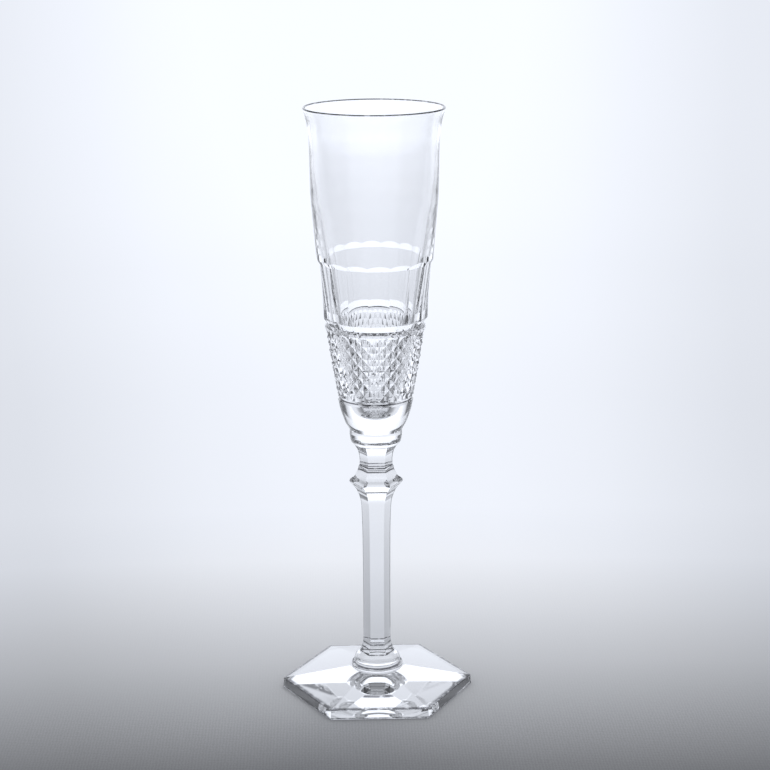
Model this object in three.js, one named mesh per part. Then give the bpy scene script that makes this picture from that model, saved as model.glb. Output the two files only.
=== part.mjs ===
// Champagne flute of cut crystal: foot, button, six-sided stem, collar and cut bowl, fused one on the other.
// Millimetres, +Z up. The origin is the centre of the foot's underside.
// The flats of the foot and the stem face along Y, and their corners point along X.

import * as THREE from 'three';

// Foot: six-sided, with an upright edge under a low pyramid
const FOOT_CORNER_RADIUS = 40;
const FOOT_EDGE_HEIGHT = 4.07;
const FOOT_EDGE_LEAN = 0.3;
const FOOT_EDGE_BEVEL = 0.3;
const FOOT_HEIGHT = 9.1;
const FOOT_SEAT_MARGIN = 0.1;

// Button: a round ring with a rounded bead on it
const BUTTON_RING_RADIUS = 10.8;
const BUTTON_RING_HEIGHT = 2.2;
const BUTTON_RING_ROUNDING = 0.7;
const BUTTON_BEAD_RADIUS = 9.65;
const BUTTON_BEAD_HEIGHT = 4.55;
const BUTTON_BEAD_SHARES = [[0, 0.96], [0.2, 1], [0.35, 0.98], [0.5, 0.9], [0.66, 0.72], [0.83, 0.42],
  [1, 0]];
const BUTTON_TOP_MARGIN = 0.1;

// Stem: six-sided, every radius measured to the corners
const STEM_BOTTOM_RADIUS = 7.34;
const STEM_WAIST_RADIUS = 5.66;
const STEM_FLARE_HEIGHT = 7.65;
const STEM_WAIST_HEIGHT = 12.6;
const STEM_SHAFT_HEIGHT = 44.2;
const STEM_FLARE_SHARES = [[0, 1], [0.23, 0.58], [0.39, 0.35], [0.51, 0.14], [1, 0.045]];
const STEM_SHAFT_SHARES = [[0, 0], [0.2, 0.02], [0.6, 0.19], [0.8, 0.36], [1, 1]];

// Knop on the stem
const KNOP_BASE_RADIUS = 6.2;
const KNOP_RADIUS = 11.1;
const KNOP_TOP_RADIUS = 7.38;
const KNOP_HEIGHT = 16.1;
const KNOP_LOWER_SHARES = [[0.165, 0.065], [0.3, 0.2], [0.46, 0.45], [0.615, 0.905], [0.668, 1]];
const KNOP_UPPER_SHARES = [[0.73, 0.89], [0.797, 0.46], [0.896, 0.22], [1, 0]];

// Band, neck and flared top of the stem, above the knop
const BAND_HEIGHT = 0.9;
const BAND_STEP_HEIGHT = 0.7;
const NECK_RADIUS = 6.76;
const NECK_HEIGHT = 7.85;
const NECK_SHARES = [[0, 0.035], [0.24, 0], [0.51, 0.1], [0.78, 0.4], [1, 1]];
const NECK_TOP_RADIUS = 8.37;
const STEM_TOP_RADIUS = 9.15;
const STEM_TOP_HEIGHT = 1.45;

// Collar between the stem and the bowl
const COLLAR_RADIUS = 10.75;
const COLLAR_HEIGHT = 6.2;
const COLLAR_SHARES = [[0, 0], [0.08, 0.27], [0.19, 0.62], [0.29, 0.78], [0.48, 0.91], [0.7, 1], [1, 1]];
const COLLAR_FACE_MARGIN = 0.05;

// Solid base of the bowl, and the groove round its top
const BASE_TOP_RADIUS = 15.3;
const BASE_HEIGHT = 12.6;
const BASE_SHARES = [[0, 0], [0.13, 0.2], [0.27, 0.415], [0.43, 0.585], [0.6, 0.74], [0.8, 0.89], [1, 1]];
const GROOVE_DEPTH = 0.55;
const GROOVE_HEIGHT = 2.15;
const GROOVE_FLOOR_SHARES = [0.6, 0.85];

// Diamond cutting: rows of four-sided points, each row half a diamond round from the last
const DIAMOND_BOTTOM_RADIUS = 15.5;
const DIAMOND_TOP_RADIUS = 19.9;
const DIAMOND_SWELL_SHARE = 0.05;
const DIAMOND_HEIGHT = 26.75;
const DIAMOND_ROWS = 10;
const DIAMOND_DEPTH_SHARE = 0.36;

// Raised rim where the diamond cuts run out, and the V-shaped channel between it and the upright flats
const RIM_STEP = 0.4;
const RIM_RISE = 1.1;
const RIM_HEIGHT = 1;
const CHANNEL_DEPTH = 1.3;
const CHANNEL_HEIGHT = 3.6;
const CHANNEL_VALLEY_SHARE = 0.25;

// Upright flats, with a slope at the top where they run out
const FLAT_COUNT = 16;
const COLUMNS_PER_FLAT = 3;
const FLAT_BOTTOM_RADIUS = 21.2;
const FLAT_TOP_RADIUS = 22.6;
const FLAT_HOLLOW_SHARE = 0.2;
const FLAT_HEIGHT = 22.4;
const FLAT_STEPS = 4;
const RUN_OUT_LEAN_SHARE = 0.6;

// Plain upper bowl, with its waist and its flared lip
const SHOULDER_RADIUS = 23.35;
const WAIST_RADIUS = 25.65;
const LIP_RADIUS = 28.3;
const UPPER_HEIGHT = 61.9;
const UPPER_WAIST_SHARE = 0.556;
const UPPER_BODY_SHARES = [[0, 0], [0.205, 0.41], [0.336, 0.7], [0.433, 0.91], [UPPER_WAIST_SHARE, 1]];
const UPPER_LIP_SHARES = [[0.727, 0.045], [0.821, 0.145], [0.886, 0.32], [0.942, 0.6], [1, 1]];
const UPPER_FIRST_ROW_SHARE = 0.06;
const UPPER_STEPS = 13;

// Hollow of the bowl: wall thicknesses down to the flats, then a narrowing hollow with a small round floor
const LIP_WALL = 0.95;
const LIP_ROUNDING = 0.5;
const CUT_WALL = 3.8;
const WALL_SHARES = [[0.072, 1], [0.205, 0.78], [0.304, 0.61], [0.4, 0.45], [0.5, 0.3], [0.595, 0.18],
  [0.72, 0.08], [0.86, 0.04], [0.92, 0.03]];
const HOLLOW_SHARES = [[0, 0], [0.094, 0.14], [0.219, 0.299], [0.383, 0.465], [0.57, 0.646], [0.757, 0.812],
  [1, 1]];
const HOLLOW_STEPS = 9;
const FLOOR_THICKNESS = 6.6;
const FLOOR_ROUND_RADIUS = 6.2;
const FLOOR_ROUND_HEIGHT = 4.6;
const FLOOR_ROUND_ANGLE = THREE.MathUtils.degToRad(74);
const FLOOR_STEPS = 5;
const LIP_STEPS = 4;

// Turning and smoothness
const SIX = 6;
const HEX_FLAT_SHARE = Math.cos(Math.PI / SIX);
const HEX_TURN = Math.PI / SIX;
const ROUND_SIDES = 48;
const ROUNDING_STEPS = 4;
const LEVEL_SHARE = 1 - 1e-6;
const DIAMOND_TURN = THREE.MathUtils.degToRad(11.12);
const FLAT_TURN = THREE.MathUtils.degToRad(13.62);

const COLUMNS = FLAT_COUNT * COLUMNS_PER_FLAT;
const COLUMN_ANGLE = (2 * Math.PI) / COLUMNS;

const mix = THREE.MathUtils.lerp;

// Heights in the stack, from the underside up
const STEM_PARTS = [STEM_FLARE_HEIGHT, STEM_WAIST_HEIGHT, STEM_SHAFT_HEIGHT, KNOP_HEIGHT, BAND_HEIGHT,
  BAND_STEP_HEIGHT, NECK_HEIGHT, STEM_TOP_HEIGHT];
const STEM_HEIGHT = STEM_PARTS.reduce((sum, height) => sum + height, 0);
const BUTTON_HEIGHT = BUTTON_RING_HEIGHT + BUTTON_BEAD_HEIGHT;
const BUTTON_SEAT = FOOT_HEIGHT;
const STEM_SEAT = BUTTON_SEAT + BUTTON_HEIGHT;
const COLLAR_SEAT = STEM_SEAT + STEM_HEIGHT;
const BOWL_SEAT = COLLAR_SEAT + COLLAR_HEIGHT;

// Radii that two pieces share
const BUTTON_FACE_RADIUS = BUTTON_RING_RADIUS - BUTTON_RING_ROUNDING;
const BUTTON_TOP_RADIUS = STEM_BOTTOM_RADIUS + BUTTON_TOP_MARGIN;
const COLLAR_FACE_RADIUS = STEM_TOP_RADIUS + COLLAR_FACE_MARGIN;

// Heights in the bowl, from its lower face up
const DIAMOND_BOTTOM = BASE_HEIGHT + GROOVE_HEIGHT;
const DIAMOND_TOP = DIAMOND_BOTTOM + DIAMOND_HEIGHT;
const RIM_BOTTOM = DIAMOND_TOP + RIM_RISE;
const RIM_TOP = RIM_BOTTOM + RIM_HEIGHT;
const FLAT_BOTTOM = RIM_TOP + CHANNEL_HEIGHT;
const FLAT_TOP = FLAT_BOTTOM + FLAT_HEIGHT;
const BOWL_HEIGHT = FLAT_TOP + UPPER_HEIGHT;
const LIP_HEIGHT = BOWL_HEIGHT - LIP_ROUNDING;

// A solid turned about Z from an outline of [radius, height] points that starts and ends on the axis
function turned(outline, sides, turn) {
  const points = outline.map(([radius, height]) => new THREE.Vector2(radius, height));
  return new THREE.LatheGeometry(points, sides, turn).rotateX(Math.PI / 2);
}

// Part of an ellipse from [radius, height] a to b: it leaves a straight up or down and arrives level at b
function rounding(a, b, steps) {
  const points = [];
  for (let step = 0; step <= steps; step += 1) {
    const angle = (Math.PI / 2) * (step / steps);
    points.push([mix(b[0], a[0], Math.cos(angle)), mix(a[1], b[1], Math.sin(angle))]);
  }
  return points;
}

// Points from one radius to another over a height, from pairs of shares: up the height, and across the radii
function shaped(shares, fromRadius, toRadius, start, height) {
  return shares.map(([up, across]) => [mix(fromRadius, toRadius, across), start + height * up]);
}

function footGeometry() {
  const seatRadius = BUTTON_FACE_RADIUS / HEX_FLAT_SHARE + FOOT_SEAT_MARGIN;
  const topRadius = FOOT_CORNER_RADIUS - FOOT_EDGE_LEAN;
  const outline = [
    [0, 0],
    [FOOT_CORNER_RADIUS - FOOT_EDGE_BEVEL, 0],
    [FOOT_CORNER_RADIUS, FOOT_EDGE_BEVEL],
    [topRadius, FOOT_EDGE_HEIGHT - FOOT_EDGE_BEVEL],
    [topRadius - FOOT_EDGE_BEVEL, FOOT_EDGE_HEIGHT],
    [seatRadius, FOOT_HEIGHT],
    [0, FOOT_HEIGHT],
  ];
  return turned(outline, SIX, HEX_TURN);
}

function buttonGeometry() {
  const side = [BUTTON_RING_RADIUS, BUTTON_RING_HEIGHT / 2];
  const underside = rounding(side, [BUTTON_FACE_RADIUS, 0], ROUNDING_STEPS).reverse();
  const topside = rounding(side, [BUTTON_FACE_RADIUS, BUTTON_RING_HEIGHT], ROUNDING_STEPS).slice(1);
  const bead = shaped(BUTTON_BEAD_SHARES, BUTTON_TOP_RADIUS, BUTTON_BEAD_RADIUS, BUTTON_RING_HEIGHT,
    BUTTON_BEAD_HEIGHT);
  const outline = [[0, 0], ...underside, ...topside, ...bead, [0, BUTTON_HEIGHT]];
  return turned(outline, ROUND_SIDES, 0);
}

function stemOutline() {
  const waist = STEM_FLARE_HEIGHT + STEM_WAIST_HEIGHT;
  const knop = waist + STEM_SHAFT_HEIGHT;
  const band = knop + KNOP_HEIGHT;
  const step = band + BAND_HEIGHT;
  const neck = step + BAND_STEP_HEIGHT;
  const top = neck + NECK_HEIGHT;
  return [
    [0, 0],
    ...shaped(STEM_FLARE_SHARES, STEM_WAIST_RADIUS, STEM_BOTTOM_RADIUS, 0, STEM_FLARE_HEIGHT),
    ...shaped(STEM_SHAFT_SHARES, STEM_WAIST_RADIUS, KNOP_BASE_RADIUS, waist, STEM_SHAFT_HEIGHT),
    ...shaped(KNOP_LOWER_SHARES, KNOP_BASE_RADIUS, KNOP_RADIUS, knop, KNOP_HEIGHT),
    ...shaped(KNOP_UPPER_SHARES, KNOP_TOP_RADIUS, KNOP_RADIUS, knop, KNOP_HEIGHT),
    [KNOP_TOP_RADIUS, step],
    ...shaped(NECK_SHARES, NECK_RADIUS, NECK_TOP_RADIUS, neck, NECK_HEIGHT),
    [STEM_TOP_RADIUS, top + STEM_TOP_HEIGHT],
    [0, top + STEM_TOP_HEIGHT],
  ];
}

function collarGeometry() {
  const side = shaped(COLLAR_SHARES, COLLAR_FACE_RADIUS, COLLAR_RADIUS, 0, COLLAR_HEIGHT);
  const outline = [[0, 0], ...side, [0, COLLAR_HEIGHT]];
  return turned(outline, ROUND_SIDES, 0);
}

// Share of a swell or a hollow that is full half way up and runs out at both ends
function bulge(up) {
  return Math.sin(Math.PI * up);
}

// Radius at a height on a smooth curve through [radius, height] points that rise
function smoothRadius(points, height) {
  const last = points.length - 1;
  const above = points.findIndex((point) => point[1] >= height);
  const end = above < 1 ? 1 : above;
  const slope = (i) => {
    const low = Math.max(i - 1, 0);
    const high = Math.min(i + 1, last);
    return (points[high][0] - points[low][0]) / (points[high][1] - points[low][1]);
  };
  const [fromRadius, fromHeight] = points[end - 1];
  const [toRadius, toHeight] = points[end];
  const span = toHeight - fromHeight;
  const t = (height - fromHeight) / span;
  const ease = t * t * (3 - 2 * t);
  const lift = t * (1 - t) * (1 - t) * slope(end - 1) - t * t * (1 - t) * slope(end);
  return mix(fromRadius, toRadius, ease) + span * lift;
}

// A row of points round the bowl, from its turn on towards +X; radius and height are functions of the column
function ring(radius, height, turn) {
  return Array.from({ length: COLUMNS }, (_, column) => {
    const angle = turn + column * COLUMN_ANGLE;
    const reach = radius(column);
    return [reach * Math.sin(angle), -reach * Math.cos(angle), height(column)];
  });
}

function roundRing([radius, height], turn) {
  return ring(() => radius, () => height, turn);
}

// Diamond rows: points of the diamonds and crossings of the cuts take turns round each row
function diamondRings() {
  const rows = [];
  const halfWidthShare = Math.tan(COLUMN_ANGLE);
  for (let row = 0; row <= DIAMOND_ROWS; row += 1) {
    const up = row / DIAMOND_ROWS;
    const across = up + DIAMOND_SWELL_SHARE * bulge(up);
    const pointRadius = mix(DIAMOND_BOTTOM_RADIUS, DIAMOND_TOP_RADIUS, across);
    const depth = pointRadius * halfWidthShare * DIAMOND_DEPTH_SHARE;
    const radius = (column) => ((row + column) % 2 === 0 ? pointRadius : pointRadius - depth);
    rows.push(ring(radius, () => DIAMOND_BOTTOM + DIAMOND_HEIGHT * up, DIAMOND_TURN));
  }
  return rows;
}

// Share of a flat's corner radius that is left at a column
function flatShare(column) {
  const middle = COLUMNS_PER_FLAT / 2;
  const aside = ((column % COLUMNS_PER_FLAT) - middle) * COLUMN_ANGLE;
  return Math.cos(middle * COLUMN_ANGLE) / Math.cos(aside);
}

function flatRings() {
  const rows = [];
  for (let step = 0; step <= FLAT_STEPS; step += 1) {
    const up = step / FLAT_STEPS;
    const across = up - FLAT_HOLLOW_SHARE * bulge(up);
    const corner = mix(FLAT_BOTTOM_RADIUS, FLAT_TOP_RADIUS, across);
    rows.push(ring((column) => corner * flatShare(column), () => FLAT_BOTTOM + FLAT_HEIGHT * up, FLAT_TURN));
  }
  return rows;
}

// Outline of the upper bowl before the flats are cut, from the shoulder to the lip
function upperOutline() {
  const height = LIP_HEIGHT - FLAT_TOP;
  return [
    ...shaped(UPPER_BODY_SHARES, SHOULDER_RADIUS, WAIST_RADIUS, FLAT_TOP, height),
    ...shaped(UPPER_LIP_SHARES, WAIST_RADIUS, LIP_RADIUS, FLAT_TOP, height),
  ];
}

// Scalloped row where the slopes at the tops of the flats run out into the round bowl
function runOutRing(outline) {
  const [first, second] = outline;
  const lean = (second[0] - first[0]) / (second[1] - first[1]);
  const rise = (column) => {
    const share = flatShare(column);
    const flatDistance = FLAT_TOP_RADIUS * share;
    return (first[0] - flatDistance) / (RUN_OUT_LEAN_SHARE * share - lean);
  };
  return ring((column) => first[0] + lean * rise(column), (column) => FLAT_TOP + rise(column), FLAT_TURN);
}

// Points of the hollow's surface: over the lip, down the wall, down the narrowing part and round the floor
function hollowPoints(outline) {
  const lip = [];
  for (let step = 1; step < LIP_STEPS; step += 1) {
    const angle = Math.PI * (step / LIP_STEPS);
    const radius = LIP_RADIUS - LIP_WALL / 2 + (LIP_WALL / 2) * Math.cos(angle);
    lip.push([radius, mix(LIP_HEIGHT, BOWL_HEIGHT, Math.sin(angle))]);
  }
  const wall = WALL_SHARES.map(([up, across]) => {
    const height = mix(FLAT_TOP, LIP_HEIGHT, up);
    return [smoothRadius(outline, height) - mix(LIP_WALL, CUT_WALL, across), height];
  }).reverse();
  const floor = [];
  for (let step = 0; step < FLOOR_STEPS; step += 1) {
    const angle = FLOOR_ROUND_ANGLE * (1 - step / FLOOR_STEPS);
    const rise = FLOOR_ROUND_HEIGHT * (1 - Math.cos(angle));
    floor.push([FLOOR_ROUND_RADIUS * Math.sin(angle), FLOOR_THICKNESS + rise]);
  }
  const [wide, high] = wall[wall.length - 1];
  const [narrow, low] = floor[0];
  const curve = shaped(HOLLOW_SHARES, narrow, wide, low, high - low);
  const narrowing = [];
  for (let step = 1; step < HOLLOW_STEPS; step += 1) {
    const height = mix(high, low, step / HOLLOW_STEPS);
    narrowing.push([smoothRadius(curve, height), height]);
  }
  const innerLip = [LIP_RADIUS - LIP_WALL, LIP_HEIGHT];
  return [...lip, innerLip, ...wall, ...narrowing, ...floor];
}

// Rows of the bowl's surface, from the middle of its lower face round to the middle of the hollow's floor
function bowlRows() {
  const outline = upperOutline();
  const base = shaped(BASE_SHARES, COLLAR_RADIUS, BASE_TOP_RADIUS, 0, BASE_HEIGHT);
  const grooveRadius = BASE_TOP_RADIUS - GROOVE_DEPTH;
  const groove = GROOVE_FLOOR_SHARES.map((up) => [grooveRadius, BASE_HEIGHT + GROOVE_HEIGHT * up]);
  const rimRadius = DIAMOND_TOP_RADIUS + RIM_STEP;
  const valley = [rimRadius - CHANNEL_DEPTH, RIM_TOP + CHANNEL_HEIGHT * CHANNEL_VALLEY_SHARE];
  const upper = [];
  for (let step = 0; step <= UPPER_STEPS; step += 1) {
    const up = mix(UPPER_FIRST_ROW_SHARE, 1, step / UPPER_STEPS);
    const height = mix(FLAT_TOP, LIP_HEIGHT, up);
    upper.push([smoothRadius(outline, height), height]);
  }
  const lower = (point) => roundRing(point, DIAMOND_TURN);
  const higher = (point) => roundRing(point, FLAT_TURN);
  return [
    [[0, 0, 0]],
    ...[...base, ...groove].map(lower),
    ...diamondRings(),
    lower([rimRadius, RIM_BOTTOM]),
    ...[[rimRadius, RIM_TOP], valley].map(higher),
    ...flatRings(),
    runOutRing(outline),
    ...[...upper, ...hollowPoints(outline)].map(higher),
    [[0, 0, FLOOR_THICKNESS]],
  ];
}

// A closed surface through rows of points; each four-sided cell is split along its lower diagonal,
// so that a cut stays a straight valley and a point stays a point. Level cells are all split alike
function skin(rows) {
  const points = rows.flat();
  const starts = [];
  let start = 0;
  rows.forEach((row) => {
    starts.push(start);
    start += row.length;
  });
  const index = (row, column) => starts[row] + (column % rows[row].length);
  const reach = (corner) => Math.hypot(points[corner][0], points[corner][1]);
  const triangles = [];
  const add = (a, b, c) => {
    if (a !== b && b !== c && c !== a) triangles.push(a, b, c);
  };
  for (let row = 0; row + 1 < rows.length; row += 1) {
    for (let column = 0; column < COLUMNS; column += 1) {
      const a = index(row, column);
      const b = index(row, column + 1);
      const c = index(row + 1, column + 1);
      const d = index(row + 1, column);
      if (reach(a) + reach(c) < (reach(b) + reach(d)) * LEVEL_SHARE) {
        add(a, b, c);
        add(a, c, d);
      } else {
        add(a, b, d);
        add(b, c, d);
      }
    }
  }
  const geometry = new THREE.BufferGeometry();
  geometry.setAttribute('position', new THREE.Float32BufferAttribute(points.flat(), 3));
  geometry.setIndex(triangles);
  geometry.computeVertexNormals();
  return geometry;
}

// Clear crystal with a trace of cool grey
function crystal() {
  return new THREE.MeshStandardMaterial({
    color: 0xe9edf5,
    roughness: 0.03,
    metalness: 0,
    transparent: true,
    opacity: 0.35,
    flatShading: true,
  });
}

// One piece of glass, standing on its seat
function piece(name, geometry, seat) {
  const mesh = new THREE.Mesh(geometry, crystal());
  mesh.name = name;
  mesh.position.z = seat;
  return mesh;
}

const flute = new THREE.Group();
flute.name = 'champagne_flute';
flute.add(piece('foot', footGeometry(), 0));
flute.add(piece('stem_button', buttonGeometry(), BUTTON_SEAT));
flute.add(piece('stem', turned(stemOutline(), SIX, HEX_TURN), STEM_SEAT));
flute.add(piece('bowl_collar', collarGeometry(), COLLAR_SEAT));
flute.add(piece('bowl', skin(bowlRows()), BOWL_SEAT));

export default flute;
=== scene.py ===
import math

import bpy
from mathutils import Matrix, Vector


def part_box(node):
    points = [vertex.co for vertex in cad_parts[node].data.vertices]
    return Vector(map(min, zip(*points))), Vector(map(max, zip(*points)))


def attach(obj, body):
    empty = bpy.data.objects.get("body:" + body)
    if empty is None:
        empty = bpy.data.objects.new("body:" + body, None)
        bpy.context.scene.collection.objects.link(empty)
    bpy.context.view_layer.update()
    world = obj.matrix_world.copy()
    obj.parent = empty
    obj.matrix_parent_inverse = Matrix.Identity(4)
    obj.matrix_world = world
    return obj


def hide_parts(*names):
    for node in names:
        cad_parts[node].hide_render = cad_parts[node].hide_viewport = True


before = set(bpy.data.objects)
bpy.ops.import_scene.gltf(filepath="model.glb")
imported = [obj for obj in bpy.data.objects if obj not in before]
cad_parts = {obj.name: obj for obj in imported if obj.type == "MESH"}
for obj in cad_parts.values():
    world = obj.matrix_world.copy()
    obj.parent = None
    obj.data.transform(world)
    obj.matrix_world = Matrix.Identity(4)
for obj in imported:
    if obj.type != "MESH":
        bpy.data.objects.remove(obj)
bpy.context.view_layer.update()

MM = 0.001

# Foot: six-sided, every radius measured to the corners
FOOT_RADIUS = 40
FOOT_EDGE_HEIGHT = 4.07
FOOT_EDGE_LEAN = 0.3
FOOT_EDGE_BEVEL = 0.3
FOOT_SEAT_RADIUS = 11.76
FOOT_FILLET = 0.35

# Button: a round ring with a rounded bead on it
RING_RADIUS = 10.8
RING_HEIGHT = 2.2
RING_ROUNDING = 0.7
BEAD_RADIUS = 9.65
BEAD_TOP_RADIUS = 7.44
BEAD_SHARES = [[0, 0.96], [0.2, 1], [0.35, 0.98], [0.5, 0.9], [0.66, 0.72], [0.83, 0.42], [1, 0]]

# Stem: six-sided, every radius measured to the corners
STEM_BOTTOM_RADIUS = 7.34
STEM_WAIST_RADIUS = 5.66
STEM_FLARE_HEIGHT = 7.65
STEM_WAIST_HEIGHT = 12.6
STEM_SHAFT_HEIGHT = 44.2
STEM_FLARE_SHARES = [[0, 1], [0.23, 0.58], [0.39, 0.35], [0.51, 0.14], [1, 0.045]]
STEM_SHAFT_SHARES = [[0, 0], [0.2, 0.02], [0.6, 0.19], [0.8, 0.36], [1, 1]]
KNOP_BASE_RADIUS = 6.2
KNOP_RADIUS = 11.1
KNOP_TOP_RADIUS = 7.38
KNOP_HEIGHT = 16.1
KNOP_LOWER_SHARES = [[0, 0], [0.165, 0.065], [0.3, 0.2], [0.46, 0.45], [0.615, 0.905], [0.668, 1]]
KNOP_UPPER_SHARES = [[0.668, 1], [0.73, 0.89], [0.797, 0.46], [0.896, 0.22], [1, 0]]
BAND_HEIGHT = 0.9
BAND_STEP_HEIGHT = 0.7
NECK_RADIUS = 6.76
NECK_TOP_RADIUS = 8.37
NECK_HEIGHT = 7.85
NECK_SHARES = [[0, 0.035], [0.24, 0], [0.51, 0.1], [0.78, 0.4], [1, 1]]
STEM_TOP_RADIUS = 9.15
STEM_FILLET = 0.25

# Heights on the stem, from its underside
SHAFT_BOTTOM = STEM_FLARE_HEIGHT + STEM_WAIST_HEIGHT
KNOP_BOTTOM = SHAFT_BOTTOM + STEM_SHAFT_HEIGHT
BAND_BOTTOM = KNOP_BOTTOM + KNOP_HEIGHT
BAND_TOP = BAND_BOTTOM + BAND_HEIGHT
NECK_BOTTOM = BAND_TOP + BAND_STEP_HEIGHT

# Collar
COLLAR_RADIUS = 10.75
COLLAR_FACE_RADIUS = 9.2
COLLAR_SHARES = [[0, 0], [0.08, 0.27], [0.19, 0.62], [0.29, 0.78], [0.48, 0.91], [0.7, 1], [1, 1]]

# Base of the bowl, and the groove round its top
BASE_TOP_RADIUS = 15.3
BASE_HEIGHT = 12.6
BASE_SHARES = [[0, 0], [0.13, 0.2], [0.27, 0.415], [0.43, 0.585], [0.6, 0.74], [0.8, 0.89], [1, 1]]
GROOVE_DEPTH = 0.55
GROOVE_HEIGHT = 2.15
GROOVE_FLOOR_SHARES = [0.6, 0.85]

# Diamond cutting
DIAMOND_BOTTOM_RADIUS = 15.5
DIAMOND_TOP_RADIUS = 19.9
DIAMOND_SWELL_SHARE = 0.05
DIAMOND_HEIGHT = 26.75
DIAMOND_ROWS = 10
DIAMOND_DEPTH_SHARE = 0.36

# Raised rim where the diamond cuts run out, and the V-shaped channel above it
RIM_STEP = 0.4
RIM_RISE = 1.1
RIM_HEIGHT = 1
CHANNEL_DEPTH = 1.3
CHANNEL_HEIGHT = 3.6
CHANNEL_VALLEY_SHARE = 0.25

# Upright flats
FLATS = 16
FLAT_BOTTOM_RADIUS = 21.2
FLAT_TOP_RADIUS = 22.6
FLAT_HOLLOW_SHARE = 0.2
FLAT_HEIGHT = 22.4
FLAT_STEPS = 14
RUN_OUT_LEAN_SHARE = 0.6

# Upper bowl
SHOULDER_RADIUS = 23.35
WAIST_RADIUS = 25.65
LIP_RADIUS = 28.25
UPPER_BODY_SHARES = [[0, 0], [0.205, 0.41], [0.336, 0.7], [0.433, 0.91], [0.556, 1]]
UPPER_LIP_SHARES = [[0.727, 0.045], [0.821, 0.145], [0.886, 0.32], [0.942, 0.6], [1, 1]]
UPPER_FIRST_ROW_SHARE = 0.05
UPPER_STEPS = 60

# Hollow of the bowl
LIP_WALL = 0.95
LIP_ROUNDING = 0.5
CUT_WALL = 3.8
WALL_SHARES = [[0.072, 1], [0.205, 0.78], [0.304, 0.61], [0.4, 0.45], [0.5, 0.3], [0.595, 0.18],
               [0.72, 0.08], [0.86, 0.04], [0.92, 0.03], [1, 0]]
FLOOR_THICKNESS = 6.6
FLOOR_ROUND_RADIUS = 6.2
FLOOR_ROUND_HEIGHT = 4.6
FLOOR_ROUND_ANGLE = 74
HOLLOW_SHARES = [[0, 0], [0.094, 0.14], [0.219, 0.299], [0.383, 0.465], [0.57, 0.646], [0.757, 0.812], [1, 1]]

# Heights on the bowl, from its underside
DIAMOND_BOTTOM = BASE_HEIGHT + GROOVE_HEIGHT
DIAMOND_TOP = DIAMOND_BOTTOM + DIAMOND_HEIGHT
RIM_BOTTOM = DIAMOND_TOP + RIM_RISE
RIM_TOP = RIM_BOTTOM + RIM_HEIGHT
FLAT_BOTTOM = RIM_TOP + CHANNEL_HEIGHT
FLAT_TOP = FLAT_BOTTOM + FLAT_HEIGHT

# Turns of the cutting from the front towards +X, in degrees
DIAMOND_TURN = 11.12
FLAT_TURN = 13.62

# Six-sided rows: half a side's turn, and its distance from the axis as a share of a corner's
HALF_SIXTH = math.radians(30)
HEX_FLAT_SHARE = math.cos(HALF_SIXTH)

# Fineness of the surfaces
FILLET_STEPS = 4
FACE_STEPS = 28
ROUNDING_STEPS = 10
CURVE_STEPS = 14
COLUMNS = 384
COLUMNS_PER_FLAT = COLUMNS // FLATS
DIAMOND_COLUMNS = 48

# Corners that are worn round, to each side: the reach on the stem, and the most of a side that it may take
STEM_WEAR = 0.45
SOFT_SHARE = 0.45
SOFT_STEPS = 4

# Edges sharper than this stay crisp, and a large flat face keeps its own shading by this weight
CRISP_ANGLE = math.radians(14)
FLAT_FACE_WEIGHT = 80

# Material slots of every piece
CRYSTAL, FUSED = 0, 1


def mix(a, b, share):
    return a + (b - a) * share


def bulge(up):
    """Full half way up, and none at both ends."""
    return math.sin(math.pi * up)


# Outlines, as lists of [radius, height]

def shaped(shares, from_radius, to_radius, start, height):
    """A stretch of outline from its pairs of shares."""
    return [[mix(from_radius, to_radius, across), start + height * up] for up, across in shares]


def curve(points, steps):
    """Points on a smooth curve through [radius, height] points, spread evenly in height."""
    low, high = points[0][1], points[-1][1]
    return [[smooth_radius(points, mix(low, high, i / steps)), mix(low, high, i / steps)]
            for i in range(steps + 1)]


def smooth_radius(points, height):
    """Radius at a height on the smooth curve."""
    last = len(points) - 1
    end = next((i for i in range(1, last) if points[i][1] >= height), last)

    def slope(i):
        low, high = max(i - 1, 0), min(i + 1, last)
        return (points[high][0] - points[low][0]) / (points[high][1] - points[low][1])

    (from_radius, from_height), (to_radius, to_height) = points[end - 1], points[end]
    span = to_height - from_height
    t = (height - from_height) / span
    ease = t * t * (3 - 2 * t)
    lift = t * (1 - t) * (1 - t) * slope(end - 1) - t * t * (1 - t) * slope(end)
    return mix(from_radius, to_radius, ease) + span * lift


def rounding(a, b, steps):
    """Part of an ellipse from a to b, both [radius, height]: it leaves a upright and arrives level."""
    angles = [math.pi / 2 * i / steps for i in range(steps + 1)]
    return [[mix(b[0], a[0], math.cos(t)), mix(a[1], b[1], math.sin(t))] for t in angles]


def softened(outline, reach):
    """The outline with its sharp corners worn round, each over a short reach to both sides."""
    points = [outline[0]]
    for before, corner, after in zip(outline, outline[1:], outline[2:]):
        arms = [Vector(end) - Vector(corner) for end in (before, after)]
        if math.pi - arms[0].angle(arms[1]) < CRISP_ANGLE:
            points.append(corner)
            continue
        start, end = (Vector(corner) + arm * min(reach / arm.length, SOFT_SHARE) for arm in arms)
        for step in range(SOFT_STEPS + 1):
            t = step / SOFT_STEPS
            points.append(list(start.lerp(Vector(corner), t).lerp(Vector(corner).lerp(end, t), t)))
    points.append(outline[-1])
    return points


# Rows of points round the axis

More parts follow.
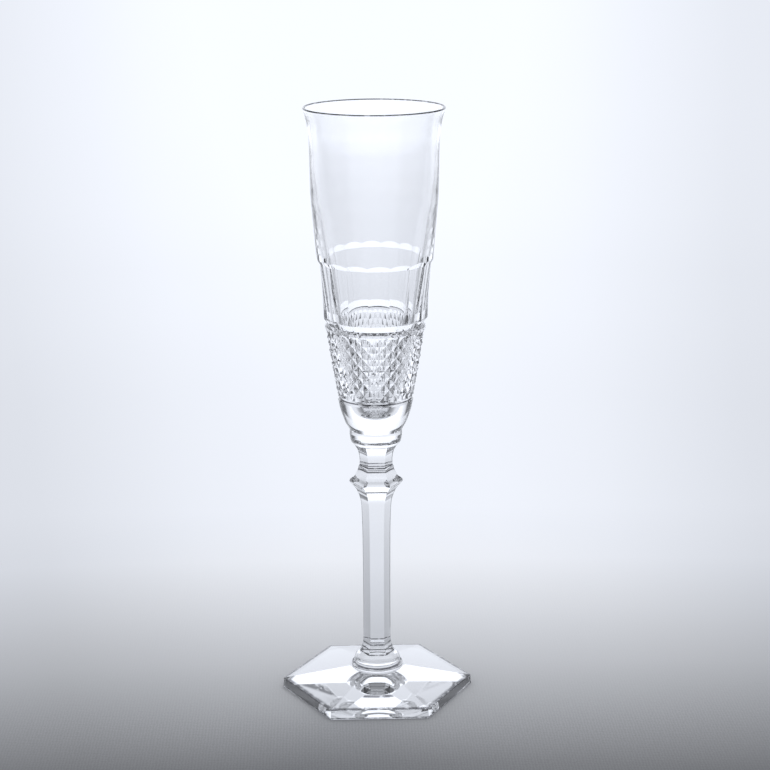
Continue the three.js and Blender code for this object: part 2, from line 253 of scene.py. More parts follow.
def hexagon(corner, height, fillet):
    """A six-sided row with corners on X, each rounded by a small fillet."""
    centre = corner - fillet / HEX_FLAT_SHARE

    def fillet_point(turn, swing):
        return Vector((centre * math.cos(turn) + fillet * math.cos(swing),
                       centre * math.sin(turn) + fillet * math.sin(swing), height))

    row = []
    for side in range(6):
        turn = 2 * HALF_SIXTH * side
        for step in range(FILLET_STEPS + 1):
            row.append(fillet_point(turn, turn + (step / FILLET_STEPS * 2 - 1) * HALF_SIXTH))
        after = turn + 2 * HALF_SIXTH
        start, end = row[-1], fillet_point(after, after - HALF_SIXTH)
        row += [start.lerp(end, step / FACE_STEPS) for step in range(1, FACE_STEPS)]
    return row


def circle(radius, height, fillet):
    """A round row whose points lie in the same directions as a six-sided row's."""
    row = []
    for point in hexagon(radius, height, fillet):
        flat = point.xy.normalized() * radius
        row.append(Vector((flat.x, flat.y, height)))
    return row


def ring(radius, height, turn, columns=COLUMNS):
    """A row round the bowl; radius and height are functions of the column."""
    row = []
    for column in range(columns):
        angle = math.radians(turn) + 2 * math.pi * column / columns
        reach = radius(column)
        row.append(Vector((reach * math.sin(angle), -reach * math.cos(angle), height(column))))
    return row


def round_ring(point, turn=FLAT_TURN):
    return ring(lambda column: point[0], lambda column: point[1], turn)


def middle(height):
    return [Vector((0, 0, height))]


# Surfaces

def band(points, low, high):
    """Faces between two rows of point numbers, seen from outside."""
    if len(low) == 1:
        return [(low[0], high[(j + 1) % len(high)], high[j]) for j in range(len(high))]
    if len(high) == 1:
        return [(low[j], low[(j + 1) % len(low)], high[0]) for j in range(len(low))]
    if len(low) != len(high):
        return fans(low, high)
    faces = []
    for j in range(len(low)):
        k = (j + 1) % len(low)
        a, b, c, d = low[j], low[k], high[k], high[j]
        if len(low) != DIAMOND_COLUMNS:
            faces.append((a, b, c, d))
        elif points[a].xy.length + points[c].xy.length < points[b].xy.length + points[d].xy.length:
            faces += [(a, b, c), (a, c, d)]
        else:
            faces += [(a, b, d), (b, c, d)]
    return faces


def fans(low, high):
    """Faces between a fine row and a coarse one."""
    fine_below = len(low) > len(high)
    fine, coarse = (low, high) if fine_below else (high, low)
    each = len(fine) // len(coarse)
    faces = []
    for c in range(len(coarse)):
        a, b = coarse[c], coarse[(c + 1) % len(coarse)]
        for j in range(each):
            first, second = fine[c * each + j], fine[(c * each + j + 1) % len(fine)]
            corner = a if j < each // 2 else b
            faces.append((first, second, corner) if fine_below else (corner, second, first))
        halfway = fine[c * each + each // 2]
        faces.append((halfway, b, a) if fine_below else (a, b, halfway))
    return faces


def surface(name, rows):
    """One closed surface through rows of points, from the middle of the underside round to the last point.
    Each row comes with the slot of the band that leads up to it."""
    points, faces, slots = [], [], []
    before = None
    for row, slot in rows:
        here = range(len(points), len(points) + len(row))
        points += row
        if before is not None:
            made = band(points, before, here)
            faces += made
            slots += [slot] * len(made)
        before = here
    mesh = bpy.data.meshes.new(name)
    mesh.from_pydata([point * MM for point in points], [], faces)
    mesh.polygons.foreach_set("material_index", slots)
    mesh.update()
    piece = bpy.data.objects.new(name, mesh)
    bpy.context.collection.objects.link(piece)
    return piece


def crisp(piece):
    """Shades the piece smooth but for its cut edges, with the flat faces kept flat beside their fillets."""
    piece.data.shade_smooth()
    piece.data.set_sharp_from_angle(angle=CRISP_ANGLE)
    weighted = piece.modifiers.new("flat faces", "WEIGHTED_NORMAL")
    weighted.keep_sharp = True
    weighted.weight = FLAT_FACE_WEIGHT


# Materials

def new_node(tree, kind, inputs=None, **settings):
    """A shader node with its settings and inputs; an input that is a socket is linked."""
    node = tree.nodes.new(kind)
    for key, value in settings.items():
        setattr(node, key, value)
    for key, value in (inputs or {}).items():
        if isinstance(value, bpy.types.NodeSocket):
            tree.links.new(value, node.inputs[key])
        else:
            node.inputs[key].default_value = value
    return node


def calculate(tree, operation, a, b=0.0):
    return new_node(tree, "ShaderNodeMath", {0: a, 1: b}, operation=operation).outputs[0]


def colour_mix(tree, share, a, b):
    return new_node(tree, "ShaderNodeMix", {0: share, 6: a, 7: b}, data_type="RGBA").outputs[2]


def blend(tree, share, a, b):
    return new_node(tree, "ShaderNodeMix", {0: share, 2: a, 3: b}, data_type="FLOAT").outputs[0]


def between(tree, value, low, high):
    """0 below the low value, 1 above the high one, and a smooth rise from one to the other."""
    return new_node(tree, "ShaderNodeMapRange", {"Value": value, "From Min": low, "From Max": high},
                    interpolation_type="SMOOTHSTEP").outputs[0]


def times(tree, *values):
    total = values[0]
    for value in values[1:]:
        total = calculate(tree, "MULTIPLY", total, value)
    return total


def noise(tree, place, scale, detail):
    return new_node(tree, "ShaderNodeTexNoise",
                    {"Vector": place, "Scale": scale, "Detail": detail}).outputs["Fac"]


def ramp(tree, share, stops):
    node = new_node(tree, "ShaderNodeValToRGB", {0: share})
    elements = node.color_ramp.elements
    elements[0].position, elements[0].color = stops[0][0], grey(stops[0][1])
    elements[1].position, elements[1].color = stops[1][0], grey(stops[1][1])
    for position, value in stops[2:]:
        elements.new(position).color = grey(value)
    return node.outputs[0]


def grey(value):
    return (value, value, value, 1)


def blank_material(name):
    material = bpy.data.materials.new(name)
    material.use_nodes = True
    tree = material.node_tree
    tree.nodes.clear()
    return material, tree


# Crystal: clear lead glass with a trace of cool grey, and painted shade that darkens it where it is seen at a
# grazing angle, in place of dark outlines
CRYSTAL_IOR = 1.545
CRYSTAL_TINT = (0.985, 0.99, 1.0, 1)
CRYSTAL_CLEAR = (1.0, 1.0, 1.0, 1)
GRAZING_SHADE = (0.02, 0.022, 0.03, 1)
GRAZING_STOPS = [(0.8, 0), (0.97, 1)]

# Noises over the glass, each as its grains per metre and its detail
CORDS = (35, 2)
POLISH_WAVES = (90, 1)
SMEARS = (260, 4)
GRINDING = (380, 1)
RUBS = (400, 3)
PATCHES = (400, 2)

# How far the noises are moved from one piece to the next, in metres
NOISE_SHIFT = 0.2

# Hand-polished faces are never quite true, and not quite clean
POLISH_DEPTH = 0.002 * MM
SMEARED = (0.55, 0.8)
SMEAR_ROUGHNESS = 0.012

# The grinding wheel ran up and down the flats
GRIND_STRETCH = (1, 1, 0.02)
GRIND_DEPTH = 0.006 * MM

# The foot's standing edge is rubbed between these heights
WEAR_START = (0.01 * MM, 0.05 * MM)
WEAR_END = (0.25 * MM, 0.5 * MM)
RUBBED = (0.4, 0.6)
RUB_ROUGHNESS = 0.22

# Painted shade: dark lines in patches along fine creases and edges, standing in for their dark outlines and
# the foot's contact shadow
CREASE_SHADE = (0.03, 0.03, 0.035, 1)
CREASE_REACH = (0.12 * MM, 0.4 * MM)
PATCHED = (0.2, 0.5)

# Heights of such lines on the foot and on the stem, and how far under the lip's top one lies
FOOT_LOW_LINE = 0.5
STEM_LINES = [0.2, 2.4, 4.4]
LIP_LINE = 0.2


def crystal(name, shift, creases, standing):
    """Glass with painted shade lines in creases at these heights, and with worn spots if it stands on the
    table.
    """
    material, tree = blank_material(name)
    place = new_node(tree, "ShaderNodeTexCoord").outputs["Object"]
    moved = new_node(tree, "ShaderNodeMapping",
                     {"Vector": place, "Location": (shift, shift / 2, 0)}).outputs[0]
    height = new_node(tree, "ShaderNodeSeparateXYZ", {0: moved}).outputs[2]

    body = colour_mix(tree, noise(tree, moved, *CORDS), CRYSTAL_TINT, CRYSTAL_CLEAR)
    if not standing:
        # Painted shade: the glass turns dark towards grazing angles
        facing = new_node(tree, "ShaderNodeLayerWeight").outputs["Facing"]
        body = colour_mix(tree, ramp(tree, facing, GRAZING_STOPS), body, GRAZING_SHADE)
    # Painted shade along the creases darkens the colour
    colour = colour_mix(tree, painted_crease_shade(tree, moved, height, creases), body, CREASE_SHADE)

    roughness = new_node(tree, "ShaderNodeMapRange",
                         {"Value": noise(tree, moved, *SMEARS), "From Min": SMEARED[0],
                          "From Max": SMEARED[1], "To Min": 0.0, "To Max": SMEAR_ROUGHNESS}).outputs[0]
    if standing:
        roughness = calculate(tree, "ADD", roughness, standing_wear(tree, moved, height))

    waves = new_node(tree, "ShaderNodeBump", {"Height": noise(tree, moved, *POLISH_WAVES), "Strength": 1.0,
                                              "Distance": POLISH_DEPTH}).outputs[0]
    along = new_node(tree, "ShaderNodeMapping", {"Vector": moved, "Scale": GRIND_STRETCH}).outputs[0]
    marks = times(tree, noise(tree, along, *GRINDING), on_flats(tree, height))
    faces = new_node(tree, "ShaderNodeBump", {"Height": marks, "Strength": 1.0, "Distance": GRIND_DEPTH,
                                              "Normal": waves}).outputs[0]
    glass = new_node(tree, "ShaderNodeBsdfPrincipled",
                     {"Base Color": colour, "Roughness": roughness, "Normal": faces, "IOR": CRYSTAL_IOR,
                      "Transmission Weight": 1.0})
    new_node(tree, "ShaderNodeOutputMaterial", {"Surface": glass.outputs[0]})
    return material


def on_flats(tree, height):
    """1 at the heights of the bowl's upright flats, and 0 elsewhere."""
    bottom = seat("bowl")
    above = calculate(tree, "GREATER_THAN", height, bottom + FLAT_BOTTOM * MM)
    return times(tree, above, calculate(tree, "LESS_THAN", height, bottom + FLAT_TOP * MM))


def painted_crease_shade(tree, place, height, creases):
    """How much painted shade lies along the creases, from 0 to 1."""
    total = 0.0
    for crease in creases:
        away = calculate(tree, "ABSOLUTE", calculate(tree, "SUBTRACT", height, crease))
        line = calculate(tree, "SUBTRACT", 1.0, between(tree, away, *CREASE_REACH))
        total = calculate(tree, "MAXIMUM", total, line)
    return times(tree, total, between(tree, noise(tree, place, *PATCHES), *PATCHED))


def standing_wear(tree, place, height):
    """Roughness of the foot's lowest bevel, where it has been set down and slid about."""
    bevel = times(tree, between(tree, height, *WEAR_START),
                  calculate(tree, "SUBTRACT", 1.0, between(tree, height, *WEAR_END)))
    return times(tree, bevel, between(tree, noise(tree, place, *RUBS), *RUBBED), RUB_ROUGHNESS)


def fused_face():
    """Where two pieces are fused there is no surface left, so the face between them doesn't show."""
    material, tree = blank_material("fused_face")
    clear = new_node(tree, "ShaderNodeBsdfTransparent", {"Color": (1, 1, 1, 1)})
    new_node(tree, "ShaderNodeOutputMaterial", {"Surface": clear.outputs[0]})
    return material


# Pieces

def seat(node):
    """Height of a node's underside, in metres."""
    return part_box(node)[0][2]


def height_of(node):
    """Height of a node from its underside to its top, in millimetres."""
    low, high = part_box(node)
    return (high[2] - low[2]) / MM


def finish_piece(piece, node, slot, shift, creases, fused):
    """Gives a piece its glass, its seat and the place of its node; creases are heights on the piece."""
    bottom = seat(node)
    heights = [bottom + crease * MM for crease in creases]
    piece.data.materials.append(crystal(slot, shift, heights, standing=node == "foot"))
    piece.data.materials.append(fused)
    piece.data.transform(Matrix.Translation((0, 0, bottom)))
    crisp(piece)
    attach(piece, "root")
    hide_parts(node)


def make_foot():
    height = height_of("foot")
    top = FOOT_RADIUS - FOOT_EDGE_LEAN
    low_edge = rounding([FOOT_RADIUS, FOOT_EDGE_BEVEL],
                        [FOOT_RADIUS - FOOT_EDGE_BEVEL, 0], FILLET_STEPS)[::-1]
    high_edge = rounding([top, FOOT_EDGE_HEIGHT - FOOT_EDGE_BEVEL],
                         [top - FOOT_EDGE_BEVEL, FOOT_EDGE_HEIGHT], FILLET_STEPS)
    rows = [(middle(0), CRYSTAL)]
    for radius, level in low_edge + high_edge + [[FOOT_SEAT_RADIUS, height]]:
        rows.append((hexagon(radius, level, FOOT_FILLET), CRYSTAL))
    rows.append((circle(RING_RADIUS - RING_ROUNDING, height, FOOT_FILLET), CRYSTAL))
    rows.append((middle(height), FUSED))
    return surface("crystal_foot", rows)


def make_button():
    height = height_of("stem_button")
    side, face = [RING_RADIUS, RING_HEIGHT / 2], RING_RADIUS - RING_ROUNDING
    outline = rounding(side, [face, 0], ROUNDING_STEPS)[::-1]
    outline += rounding(side, [face, RING_HEIGHT], ROUNDING_STEPS)[1:]
    bead = shaped(BEAD_SHARES, BEAD_TOP_RADIUS, BEAD_RADIUS, RING_HEIGHT, height - RING_HEIGHT)
    outline += curve(bead, CURVE_STEPS * 2)
    rows = [(middle(0), CRYSTAL)]
    rows += [(circle(radius, level, STEM_FILLET), CRYSTAL) for radius, level in outline]
    rows[1] = (rows[1][0], FUSED)
    rows.append((hexagon(STEM_BOTTOM_RADIUS, height, STEM_FILLET), CRYSTAL))
    rows.append((middle(height), FUSED))
    return surface("crystal_button", rows)


def stem_outline(height):
    shaft = shaped(STEM_SHAFT_SHARES, STEM_WAIST_RADIUS, KNOP_BASE_RADIUS, SHAFT_BOTTOM, STEM_SHAFT_HEIGHT)
    under = shaped(KNOP_LOWER_SHARES, KNOP_BASE_RADIUS, KNOP_RADIUS, KNOP_BOTTOM, KNOP_HEIGHT)
    over = shaped(KNOP_UPPER_SHARES, KNOP_TOP_RADIUS, KNOP_RADIUS, KNOP_BOTTOM, KNOP_HEIGHT)
    flare = shaped(NECK_SHARES, NECK_RADIUS, NECK_TOP_RADIUS, NECK_BOTTOM, NECK_HEIGHT)
    return [
        *shaped(STEM_FLARE_SHARES, STEM_WAIST_RADIUS, STEM_BOTTOM_RADIUS, 0, STEM_FLARE_HEIGHT),
        *curve(shaft, CURVE_STEPS),
        *curve(under, CURVE_STEPS)[1:],
        *curve(over, CURVE_STEPS)[1:],
        [KNOP_TOP_RADIUS, BAND_TOP],
        *curve(flare, CURVE_STEPS),
        [STEM_TOP_RADIUS, height],
    ]


def make_stem():
    rows = [(middle(0), CRYSTAL)]
    height = height_of("stem")
    outline = softened(stem_outline(height), STEM_WEAR)
    rows += [(hexagon(radius, level, STEM_FILLET), CRYSTAL) for radius, level in outline]
    rows[1] = (rows[1][0], FUSED)
    rows.append((middle(height), FUSED))
    return surface("crystal_stem", rows)


def make_collar():
    height = height_of("bowl_collar")
    side = shaped(COLLAR_SHARES, COLLAR_FACE_RADIUS, COLLAR_RADIUS, 0, height)
    rows = [(middle(0), CRYSTAL), (hexagon(STEM_TOP_RADIUS, 0, STEM_FILLET), FUSED)]
    rows += [(circle(radius, level, STEM_FILLET), CRYSTAL) for radius, level in curve(side, CURVE_STEPS * 2)]
    rows.append((middle(height), FUSED))
    return surface("crystal_collar", rows)


def flat_share(column):
    """Share of a flat's corner radius that is left at a column."""
    half = COLUMNS_PER_FLAT / 2
    aside = (column % COLUMNS_PER_FLAT - half) * 2 * math.pi / COLUMNS
    return math.cos(math.pi / FLATS) / math.cos(aside)


def base_rows():
    base = curve(shaped(BASE_SHARES, COLLAR_RADIUS, BASE_TOP_RADIUS, 0, BASE_HEIGHT), CURVE_STEPS * 2)
    floor = BASE_TOP_RADIUS - GROOVE_DEPTH
    groove = [[floor, BASE_HEIGHT + GROOVE_HEIGHT * up] for up in GROOVE_FLOOR_SHARES]
    return [round_ring(point, DIAMOND_TURN) for point in base + groove]


def diamond_rows():
    """Points of the diamonds and crossings of the cuts take turns round each row."""
    rows = []
    half_width_share = math.tan(2 * math.pi / DIAMOND_COLUMNS)
    for row in range(DIAMOND_ROWS + 1):
        up = row / DIAMOND_ROWS
        level = DIAMOND_BOTTOM + DIAMOND_HEIGHT * up
        point = mix(DIAMOND_BOTTOM_RADIUS, DIAMOND_TOP_RADIUS, up + DIAMOND_SWELL_SHARE * bulge(up))
        crossing = point * (1 - half_width_share * DIAMOND_DEPTH_SHARE)
        rows.append(ring(lambda column: crossing if (row + column) % 2 else point,
                         lambda column: level, DIAMOND_TURN, DIAMOND_COLUMNS))
    return rows


def rim_rows():
    rim = DIAMOND_TOP_RADIUS + RIM_STEP
    valley = [rim - CHANNEL_DEPTH, RIM_TOP + CHANNEL_HEIGHT * CHANNEL_VALLEY_SHARE]
    return [round_ring([rim, RIM_BOTTOM], DIAMOND_TURN), round_ring([rim, RIM_TOP]), round_ring(valley)]


def flat_rows():
    rows = []
    for step in range(FLAT_STEPS + 1):
        up = step / FLAT_STEPS
        corner = mix(FLAT_BOTTOM_RADIUS, FLAT_TOP_RADIUS, up - FLAT_HOLLOW_SHARE * bulge(up))
        rows.append(ring(lambda column: corner * flat_share(column),
                         lambda column: FLAT_BOTTOM + FLAT_HEIGHT * up, FLAT_TURN))
    return rows


def upper_rows(outline):
    """The scalloped row where the flats run out, and the plain rows above it up to the lip."""
    (first, start), (second, end) = outline[0], outline[1]
    lean = (second - first) / (end - start)

    def rise(column):
        share = flat_share(column)
        return (first - FLAT_TOP_RADIUS * share) / (RUN_OUT_LEAN_SHARE * share - lean)

    rows = [ring(lambda column: first + lean * rise(column), lambda column: start + rise(column), FLAT_TURN)]
    for step in range(UPPER_STEPS + 1):
        level = mix(start, outline[-1][1], mix(UPPER_FIRST_ROW_SHARE, 1, step / UPPER_STEPS))
        rows.append(round_ring([smooth_radius(outline, level), level]))
    return rows


def hollow_rows(outline, bowl_height):
    """Over the lip, down the wall, down the narrowing hollow and round its floor."""
    lip_height = outline[-1][1]
    lip = []
    for step in range(1, ROUNDING_STEPS + 1):
        angle = math.pi * step / ROUNDING_STEPS
        radius = LIP_RADIUS - LIP_WALL / 2 + LIP_WALL / 2 * math.cos(angle)
        lip.append([radius, mix(lip_height, bowl_height, math.sin(angle))])
    inner = []
    for up, across in WALL_SHARES:
        level = mix(FLAT_TOP, lip_height, up)
        inner.append([smooth_radius(outline, level) - mix(LIP_WALL, CUT_WALL, across), level])
    wall = curve(inner, UPPER_STEPS)[::-1][1:]
    floor = []
    for step in range(CURVE_STEPS):
        angle = math.radians(FLOOR_ROUND_ANGLE) * (1 - step / CURVE_STEPS)
        floor.append([FLOOR_ROUND_RADIUS * math.sin(angle),
                      FLOOR_THICKNESS + FLOOR_ROUND_HEIGHT * (1 - math.cos(angle))])
    (narrow, low), (wide, high) = floor[0], wall[-1]
    cone = curve(shaped(HOLLOW_SHARES, narrow, wide, low, high - low), CURVE_STEPS * 3)[::-1][1:-1]
    return [round_ring(point) for point in lip + wall + cone + floor]


def make_bowl():
    height = height_of("bowl")
    lip_height = height - LIP_ROUNDING
    outline = shaped(UPPER_BODY_SHARES, SHOULDER_RADIUS, WAIST_RADIUS, FLAT_TOP, lip_height - FLAT_TOP)
    outline += shaped(UPPER_LIP_SHARES, WAIST_RADIUS, LIP_RADIUS, FLAT_TOP, lip_height - FLAT_TOP)
    rings = [*base_rows(), *diamond_rows(), *rim_rows(), *flat_rows(), *upper_rows(outline),
             *hollow_rows(outline, height)]
    rows = [(middle(0), CRYSTAL), (rings[0], FUSED)]
    rows += [(row, CRYSTAL) for row in rings[1:]]
    rows.append((middle(FLOOR_THICKNESS), CRYSTAL))
    return surface("crystal_bowl", rows)


def make_pieces():
    groove = BASE_HEIGHT + GROOVE_HEIGHT / 2
    lip = height_of("bowl") - LIP_LINE
    pieces = [
        (make_foot, "foot", "foot_crystal", [FOOT_LOW_LINE, FOOT_EDGE_HEIGHT]),
        (make_button, "stem_button", "button_crystal", [0, RING_HEIGHT]),
        (make_stem, "stem", "stem_crystal", [*STEM_LINES, BAND_BOTTOM, NECK_BOTTOM]),
        (make_collar, "bowl_collar", "collar_crystal", [0]),
        (make_bowl, "bowl", "bowl_crystal", [groove, lip]),
    ]
    fused = fused_face()
    for number, (make, node, slot, creases) in enumerate(pieces):
        finish_piece(make(), node, slot, NOISE_SHIFT * (number + 0.5), creases, fused)


# Studio, in metres: a round sweep of pale cloth, so that there is a background from every side
SWEEP_FLOOR = -0.0001
SWEEP_FLAT_RADIUS = 0.9
SWEEP_COVE_RADIUS = 0.5
SWEEP_HEIGHT = 2.4
SWEEP_COLUMNS = 128
SWEEP_COVE_STEPS = 12

# Inside the near radius the cloth is lit and keeps the shadow, and outside the far one it glows
NEAR_RADIUS = 0.13
FAR_RADIUS = 0.24
NEAR_LEVEL = 0.93

# Threads of the cloth, and how deep they show in front of the glass and behind it
WARP_SCALE = 250
WEFT_SCALE = 220
THREAD_SWAY = 5
THREAD_DETAIL = 2
THREAD_FADE = (-0.06, 0.03)
THREAD_DEPTHS = (0.2, 0.03)


def make_sweep():
    outline = [(0, 0), (NEAR_RADIUS, 0), (FAR_RADIUS, 0), (SWEEP_FLAT_RADIUS, 0)]
    for step in range(1, SWEEP_COVE_STEPS + 1):
        angle = math.pi / 2 * step / SWEEP_COVE_STEPS
        outline.append((SWEEP_FLAT_RADIUS + SWEEP_COVE_RADIUS * math.sin(angle),
                        SWEEP_COVE_RADIUS * (1 - math.cos(angle))))
    outline.append((SWEEP_FLAT_RADIUS + SWEEP_COVE_RADIUS, SWEEP_HEIGHT))
    points = [(0, 0, SWEEP_FLOOR)]
    faces = []
    for radius, height in outline[1:]:
        for column in range(SWEEP_COLUMNS):
            angle = 2 * math.pi * column / SWEEP_COLUMNS
            points.append((radius * math.cos(angle), radius * math.sin(angle), SWEEP_FLOOR + height))
    for column in range(SWEEP_COLUMNS):
        after = (column + 1) % SWEEP_COLUMNS
        faces.append((0, 1 + column, 1 + after))
        for row in range(len(outline) - 2):
            low, high = 1 + row * SWEEP_COLUMNS, 1 + (row + 1) * SWEEP_COLUMNS
            faces.append((low + column, high + column, high + after, low + after))
    mesh = bpy.data.meshes.new("sweep")
    mesh.from_pydata(points, [], faces)
    mesh.shade_smooth()
    sweep = bpy.data.objects.new("sweep", mesh)
    bpy.context.collection.objects.link(sweep)
    sweep.data.materials.append(sweep_material())


# The sweep's brightness, where 1 is white, is a product of tables, each against a distance in metres or a
# turn in degrees. The most that a table which goes past 1 may hold is the ramps' top
HALF_TURN = 180
RAMP_TOP = 1.4

# Shade on the floor in front of the glass, against the distance from its middle
SHADE_CENTRE = (0, -0.2, 0)
SHADE_STRETCH = (0.35, 1, 1)
SHADE_STOPS = [(0, 0.12), (0.123, 0.212), (0.174, 0.381), (0.227, 0.552), (0.287, 0.701), (0.356, 0.847),
               (0.437, 0.9), (1, 0.92)]

# Rise against the way along the floor and up the wall, as it is seen and as the glass shows it
RISE_REACH = 2.4
SEEN_RISE_STOPS = [(0, 1), (0.5, 1.02), (0.72, 1.05), (0.92, 1.06), (1.09, 1.09), (1.3, 1.11), (2.4, 1.14)]
GLASS_RISE_STOPS = [(0, 1), (0.5, 1.02), (0.72, 1.04), (0.92, 1.07), (1.09, 1.13), (1.14, 1.2), (1.2, 1.26),
                    (1.28, 1.3), (1.6, 1.36), (2.4, 1.38)]

# Beam from in front of the glass to the back, against the turn from the beam's middle
BEAM_START = (0.02, -0.8)
BEAM_STOPS = [(0, 1), (3, 1), (6, 0.955), (10.8, 0.82), (25, 0.78), (60, 0.84), (180, 0.86)]

# Painted shade that only the glass shows, in place of dark screens at both sides of the lit part, against the
# turn from the back: for the floor near the foot and far from it, and for the wall low down, higher up and at
# the top
GLASS_NEAR_STOPS = [(0, 0.97), (35, 0.98), (43, 0.88), (50, 0.73), (60, 0.64), (75, 0.55), (95, 0.3),
                    (125, 0.25), (150, 0.45), (180, 0.5)]
GLASS_FAR_STOPS = [(0, 1), (12, 1.01), (24, 1.07), (34, 1.02), (40, 0.92), (56, 0.84), (64, 0.3), (75, 0.1),
                   (122, 0.1), (140, 0.4), (180, 0.45)]
GLASS_LOW_STOPS = [(0, 1), (18, 1), (34, 0.96), (44, 0.55), (48, 0.12), (58, 0.04), (122, 0.04), (134, 0.35),
                   (180, 0.35)]
GLASS_HIGH_STOPS = [(0, 1), (22, 1), (40, 0.85), (50, 0.72), (60, 0.5), (61, 0.05), (110, 0.04), (124, 0.35),
                    (180, 0.35)]
GLASS_TOP_STOPS = [(0, 1), (22, 1), (30, 0.3), (40, 0.06), (180, 0.06)]

# Where one of these gives way to the next, in metres out from the middle or up from the table
FLOOR_FAR = (0.35, 0.7)
WALL_START = (0.03, 0.12)
LOW_BAND_TOP = (0.38, 0.46)
TOP_BAND_START = (0.72, 0.85)

# Painted light: the floor under the foot, as the glass shows it, is brighter out to the foot's edge, in place
# of the light that the foot gathers
UNDER_FOOT_LEVEL = 1.3
FOOT_EDGE = (0.04, 0.05)

# The cool white of the cloth and of the world above it
SWEEP_TINT = (0.963, 1.0, 1.085)


def scaled_ramp(tree, value, stops, reach, top=1.0):
    """Brightness by a table of stops; a colour ramp goes from 0 to 1, so both its sides are scaled."""
    share = calculate(tree, "DIVIDE", value, reach)
    shade = ramp(tree, share, [(position / reach, level / top) for position, level in stops])
    level = new_node(tree, "ShaderNodeSeparateColor", {0: shade}).outputs[0]
    return calculate(tree, "MULTIPLY", level, top)


def through_glass(tree):
    """1 where a ray comes by way of the glass, and 0 where the camera or the floor looks straight at it."""
    path = new_node(tree, "ShaderNodeLightPath").outputs
    return calculate(tree, "MAXIMUM", path["Is Glossy Ray"], path["Is Transmission Ray"])


def turn_from_back(tree, x, y):
    """Turn of a direction from +Y to either side, in degrees."""
    return times(tree, calculate(tree, "ARCTAN2", calculate(tree, "ABSOLUTE", x), y), HALF_TURN / math.pi)


def vector_math(tree, operation, inputs):
    return new_node(tree, "ShaderNodeVectorMath", inputs, operation=operation).outputs[0]


def length_of(tree, vector):
    return new_node(tree, "ShaderNodeVectorMath", {0: vector}, operation="LENGTH").outputs["Value"]


def weave(tree, place):
    """Warp and weft of the cloth on the floor, from -0.5 to 0.5."""
    total = -0.5
    for direction, scale in (("X", WARP_SCALE), ("Y", WEFT_SCALE)):
        threads = new_node(tree, "ShaderNodeTexWave",
                           {"Vector": place, "Scale": scale, "Distortion": THREAD_SWAY,
                            "Detail": THREAD_DETAIL, "Detail Scale": THREAD_DETAIL},
                           bands_direction=direction).outputs["Fac"]
        total = calculate(tree, "ADD", total, times(tree, threads, 0.5))
    return total


def painted_glass_surround(tree, turn, reach, z):
    """Painted brightness of the sweep as only the glass shows it, dark at both sides of the lit part, by its
    turn from the back, its reach and its height.
    """
    def by_turn(stops, top=1.0):
        return scaled_ramp(tree, turn, stops, HALF_TURN, top)

    floor = blend(tree, between(tree, reach, *FLOOR_FAR), by_turn(GLASS_NEAR_STOPS),
                  by_turn(GLASS_FAR_STOPS, RAMP_TOP))
    # Painted light on the floor under the foot
    floor = blend(tree, between(tree, reach, *FOOT_EDGE), UNDER_FOOT_LEVEL, floor)
    wall = blend(tree, between(tree, z, *LOW_BAND_TOP), by_turn(GLASS_LOW_STOPS), by_turn(GLASS_HIGH_STOPS))
    wall = blend(tree, between(tree, z, *TOP_BAND_START), wall, by_turn(GLASS_TOP_STOPS))
    return blend(tree, between(tree, z, *WALL_START), floor, wall)


def sweep_material():
    """Lit cloth near the foot and a glow beyond it, with a brightness of its own for what the glass shows."""
    material, tree = blank_material("sweep")
    place = new_node(tree, "ShaderNodeNewGeometry").outputs["Position"]
    x, y, z = new_node(tree, "ShaderNodeSeparateXYZ", {0: place}).outputs
    reach = length_of(tree, new_node(tree, "ShaderNodeCombineXYZ", {"X": x, "Y": y}).outputs[0])
    from_shade = vector_math(tree, "SUBTRACT", {0: place, 1: SHADE_CENTRE})
    stretched = vector_math(tree, "MULTIPLY", {0: from_shade, 1: SHADE_STRETCH})
    shade = scaled_ramp(tree, length_of(tree, stretched), SHADE_STOPS, 1.0)
    climb = calculate(tree, "ADD", reach, z)
    beam_turn = turn_from_back(tree, calculate(tree, "SUBTRACT", x, BEAM_START[0]),
                               calculate(tree, "SUBTRACT", y, BEAM_START[1]))
    beam = scaled_ramp(tree, beam_turn, BEAM_STOPS, HALF_TURN)
    seen = times(tree, shade, scaled_ramp(tree, climb, SEEN_RISE_STOPS, RISE_REACH, RAMP_TOP), beam)
    # What the glass shows of the sweep carries painted light and shade of its own
    in_glass = times(tree, shade, scaled_ramp(tree, climb, GLASS_RISE_STOPS, RISE_REACH, RAMP_TOP),
                     painted_glass_surround(tree, turn_from_back(tree, x, y), reach, z))

    glass = through_glass(tree)
    bright = blend(tree, glass, calculate(tree, "MINIMUM", seen, 1.0), in_glass)
    glow = new_node(tree, "ShaderNodeEmission",
                    {"Color": vector_math(tree, "SCALE", {0: SWEEP_TINT, "Scale": bright})})
    depth = blend(tree, between(tree, y, *THREAD_FADE), *THREAD_DEPTHS)
    threads = calculate(tree, "ADD", times(tree, weave(tree, place), depth), 1.0)
    cloth = new_node(tree, "ShaderNodeBsdfDiffuse", {"Color": times(tree, seen, threads, NEAR_LEVEL)})
    glowing = calculate(tree, "MAXIMUM", between(tree, reach, NEAR_RADIUS, FAR_RADIUS), glass)
    both = new_node(tree, "ShaderNodeMixShader", {0: glowing, 1: cloth.outputs[0], 2: glow.outputs[0]})
    new_node(tree, "ShaderNodeOutputMaterial", {"Surface": both.outputs[0]})
    return material


# The world above the sweep, as light on the things below and as the glass shows it
CEILING_LIGHT = 1.0
CEILING_IN_GLASS = 0.2


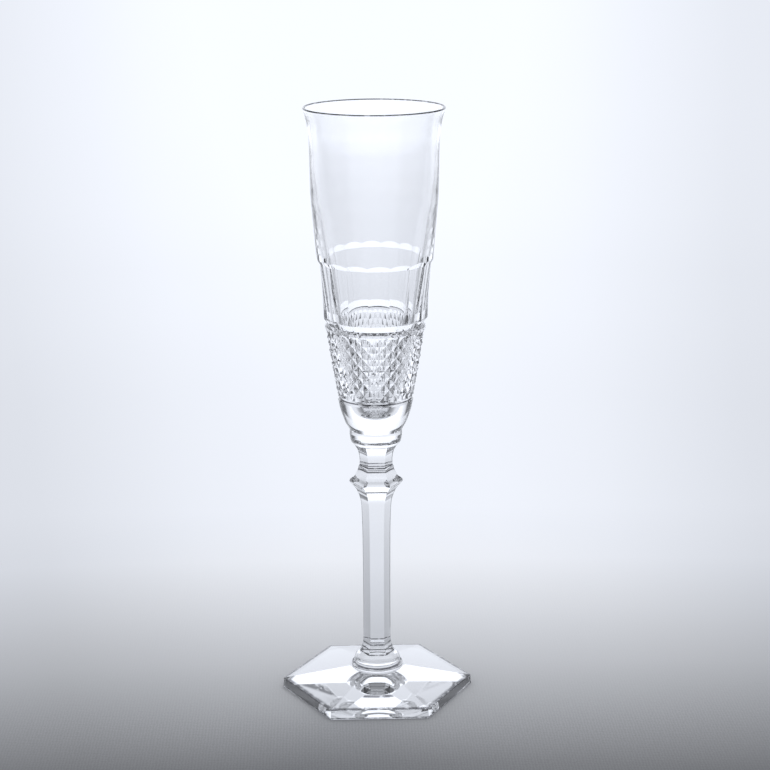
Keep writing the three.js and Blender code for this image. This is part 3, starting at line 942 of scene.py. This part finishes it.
def make_world():
    world = bpy.data.worlds.new("studio")
    bpy.context.scene.world = world
    world.use_nodes = True
    tree = world.node_tree
    tree.nodes.clear()
    strength = blend(tree, through_glass(tree), CEILING_LIGHT, CEILING_IN_GLASS)
    glow = new_node(tree, "ShaderNodeBackground", {"Color": (*SWEEP_TINT, 1), "Strength": strength})
    new_node(tree, "ShaderNodeOutputWorld", {"Surface": glow.outputs[0]})


# Soft lamp high at the back, in metres and watts
LAMP_SIZE = 0.5
LAMP_PLACE = (0.1, 0.45, 1.1)
LAMP_POWER = 3
LAMP_AIM = (0, 0, 0.05)


def make_lamp():
    light = bpy.data.lights.new("soft_lamp", "AREA")
    light.shape = "DISK"
    light.size = LAMP_SIZE
    light.energy = LAMP_POWER
    lamp = bpy.data.objects.new("soft_lamp", light)
    lamp.location = LAMP_PLACE
    lamp.rotation_euler = (Vector(LAMP_AIM) - Vector(LAMP_PLACE)).to_track_quat("-Z", "Y").to_euler()
    lamp.visible_camera = lamp.visible_glossy = lamp.visible_transmission = False
    bpy.context.collection.objects.link(lamp)


# Camera, in metres and degrees, as fitted to the photograph, which looks at the glass from its front and
# a little from the left
CAMERA_DISTANCE = 0.76213
CAMERA_HEIGHT = 0.33396
CAMERA_PITCH = 14.8565
CAMERA_YAW = 0.2881
CAMERA_ROLL = -0.2542
GLASS_TURN = 1.5814
FOCAL_PIXELS = 1933.6
IMAGE_PIXELS = 770
SENSOR_WIDTH = 36

# Light passes many faces of cut glass before it leaves
LIGHT_BOUNCES = 24


def make_camera():
    pitch, yaw, roll = (math.radians(a) for a in (CAMERA_PITCH, CAMERA_YAW, CAMERA_ROLL))
    forward = Vector((math.sin(yaw) * math.cos(pitch), math.cos(yaw) * math.cos(pitch), -math.sin(pitch)))
    level = Vector((math.cos(yaw), -math.sin(yaw), 0))
    upright = level.cross(forward)
    right = level * math.cos(roll) + upright * math.sin(roll)
    up = upright * math.cos(roll) - level * math.sin(roll)
    axes = Matrix((right, up, -forward)).transposed().to_4x4()
    data = bpy.data.cameras.new("camera")
    data.sensor_width = SENSOR_WIDTH
    data.lens = FOCAL_PIXELS * SENSOR_WIDTH / IMAGE_PIXELS
    camera = bpy.data.objects.new("camera", data)
    turn = Matrix.Rotation(math.radians(-GLASS_TURN), 4, "Z")
    camera.matrix_world = turn @ Matrix.Translation((0, -CAMERA_DISTANCE, CAMERA_HEIGHT)) @ axes
    bpy.context.collection.objects.link(camera)
    bpy.context.scene.camera = camera


def set_up_render():
    scene = bpy.context.scene
    scene.view_settings.view_transform = "Standard"
    scene.cycles.max_bounces = LIGHT_BOUNCES
    scene.cycles.transmission_bounces = LIGHT_BOUNCES
    scene.cycles.glossy_bounces = LIGHT_BOUNCES
    scene.cycles.transparent_max_bounces = LIGHT_BOUNCES


make_camera()
make_pieces()
make_sweep()
make_world()
make_lamp()
set_up_render()
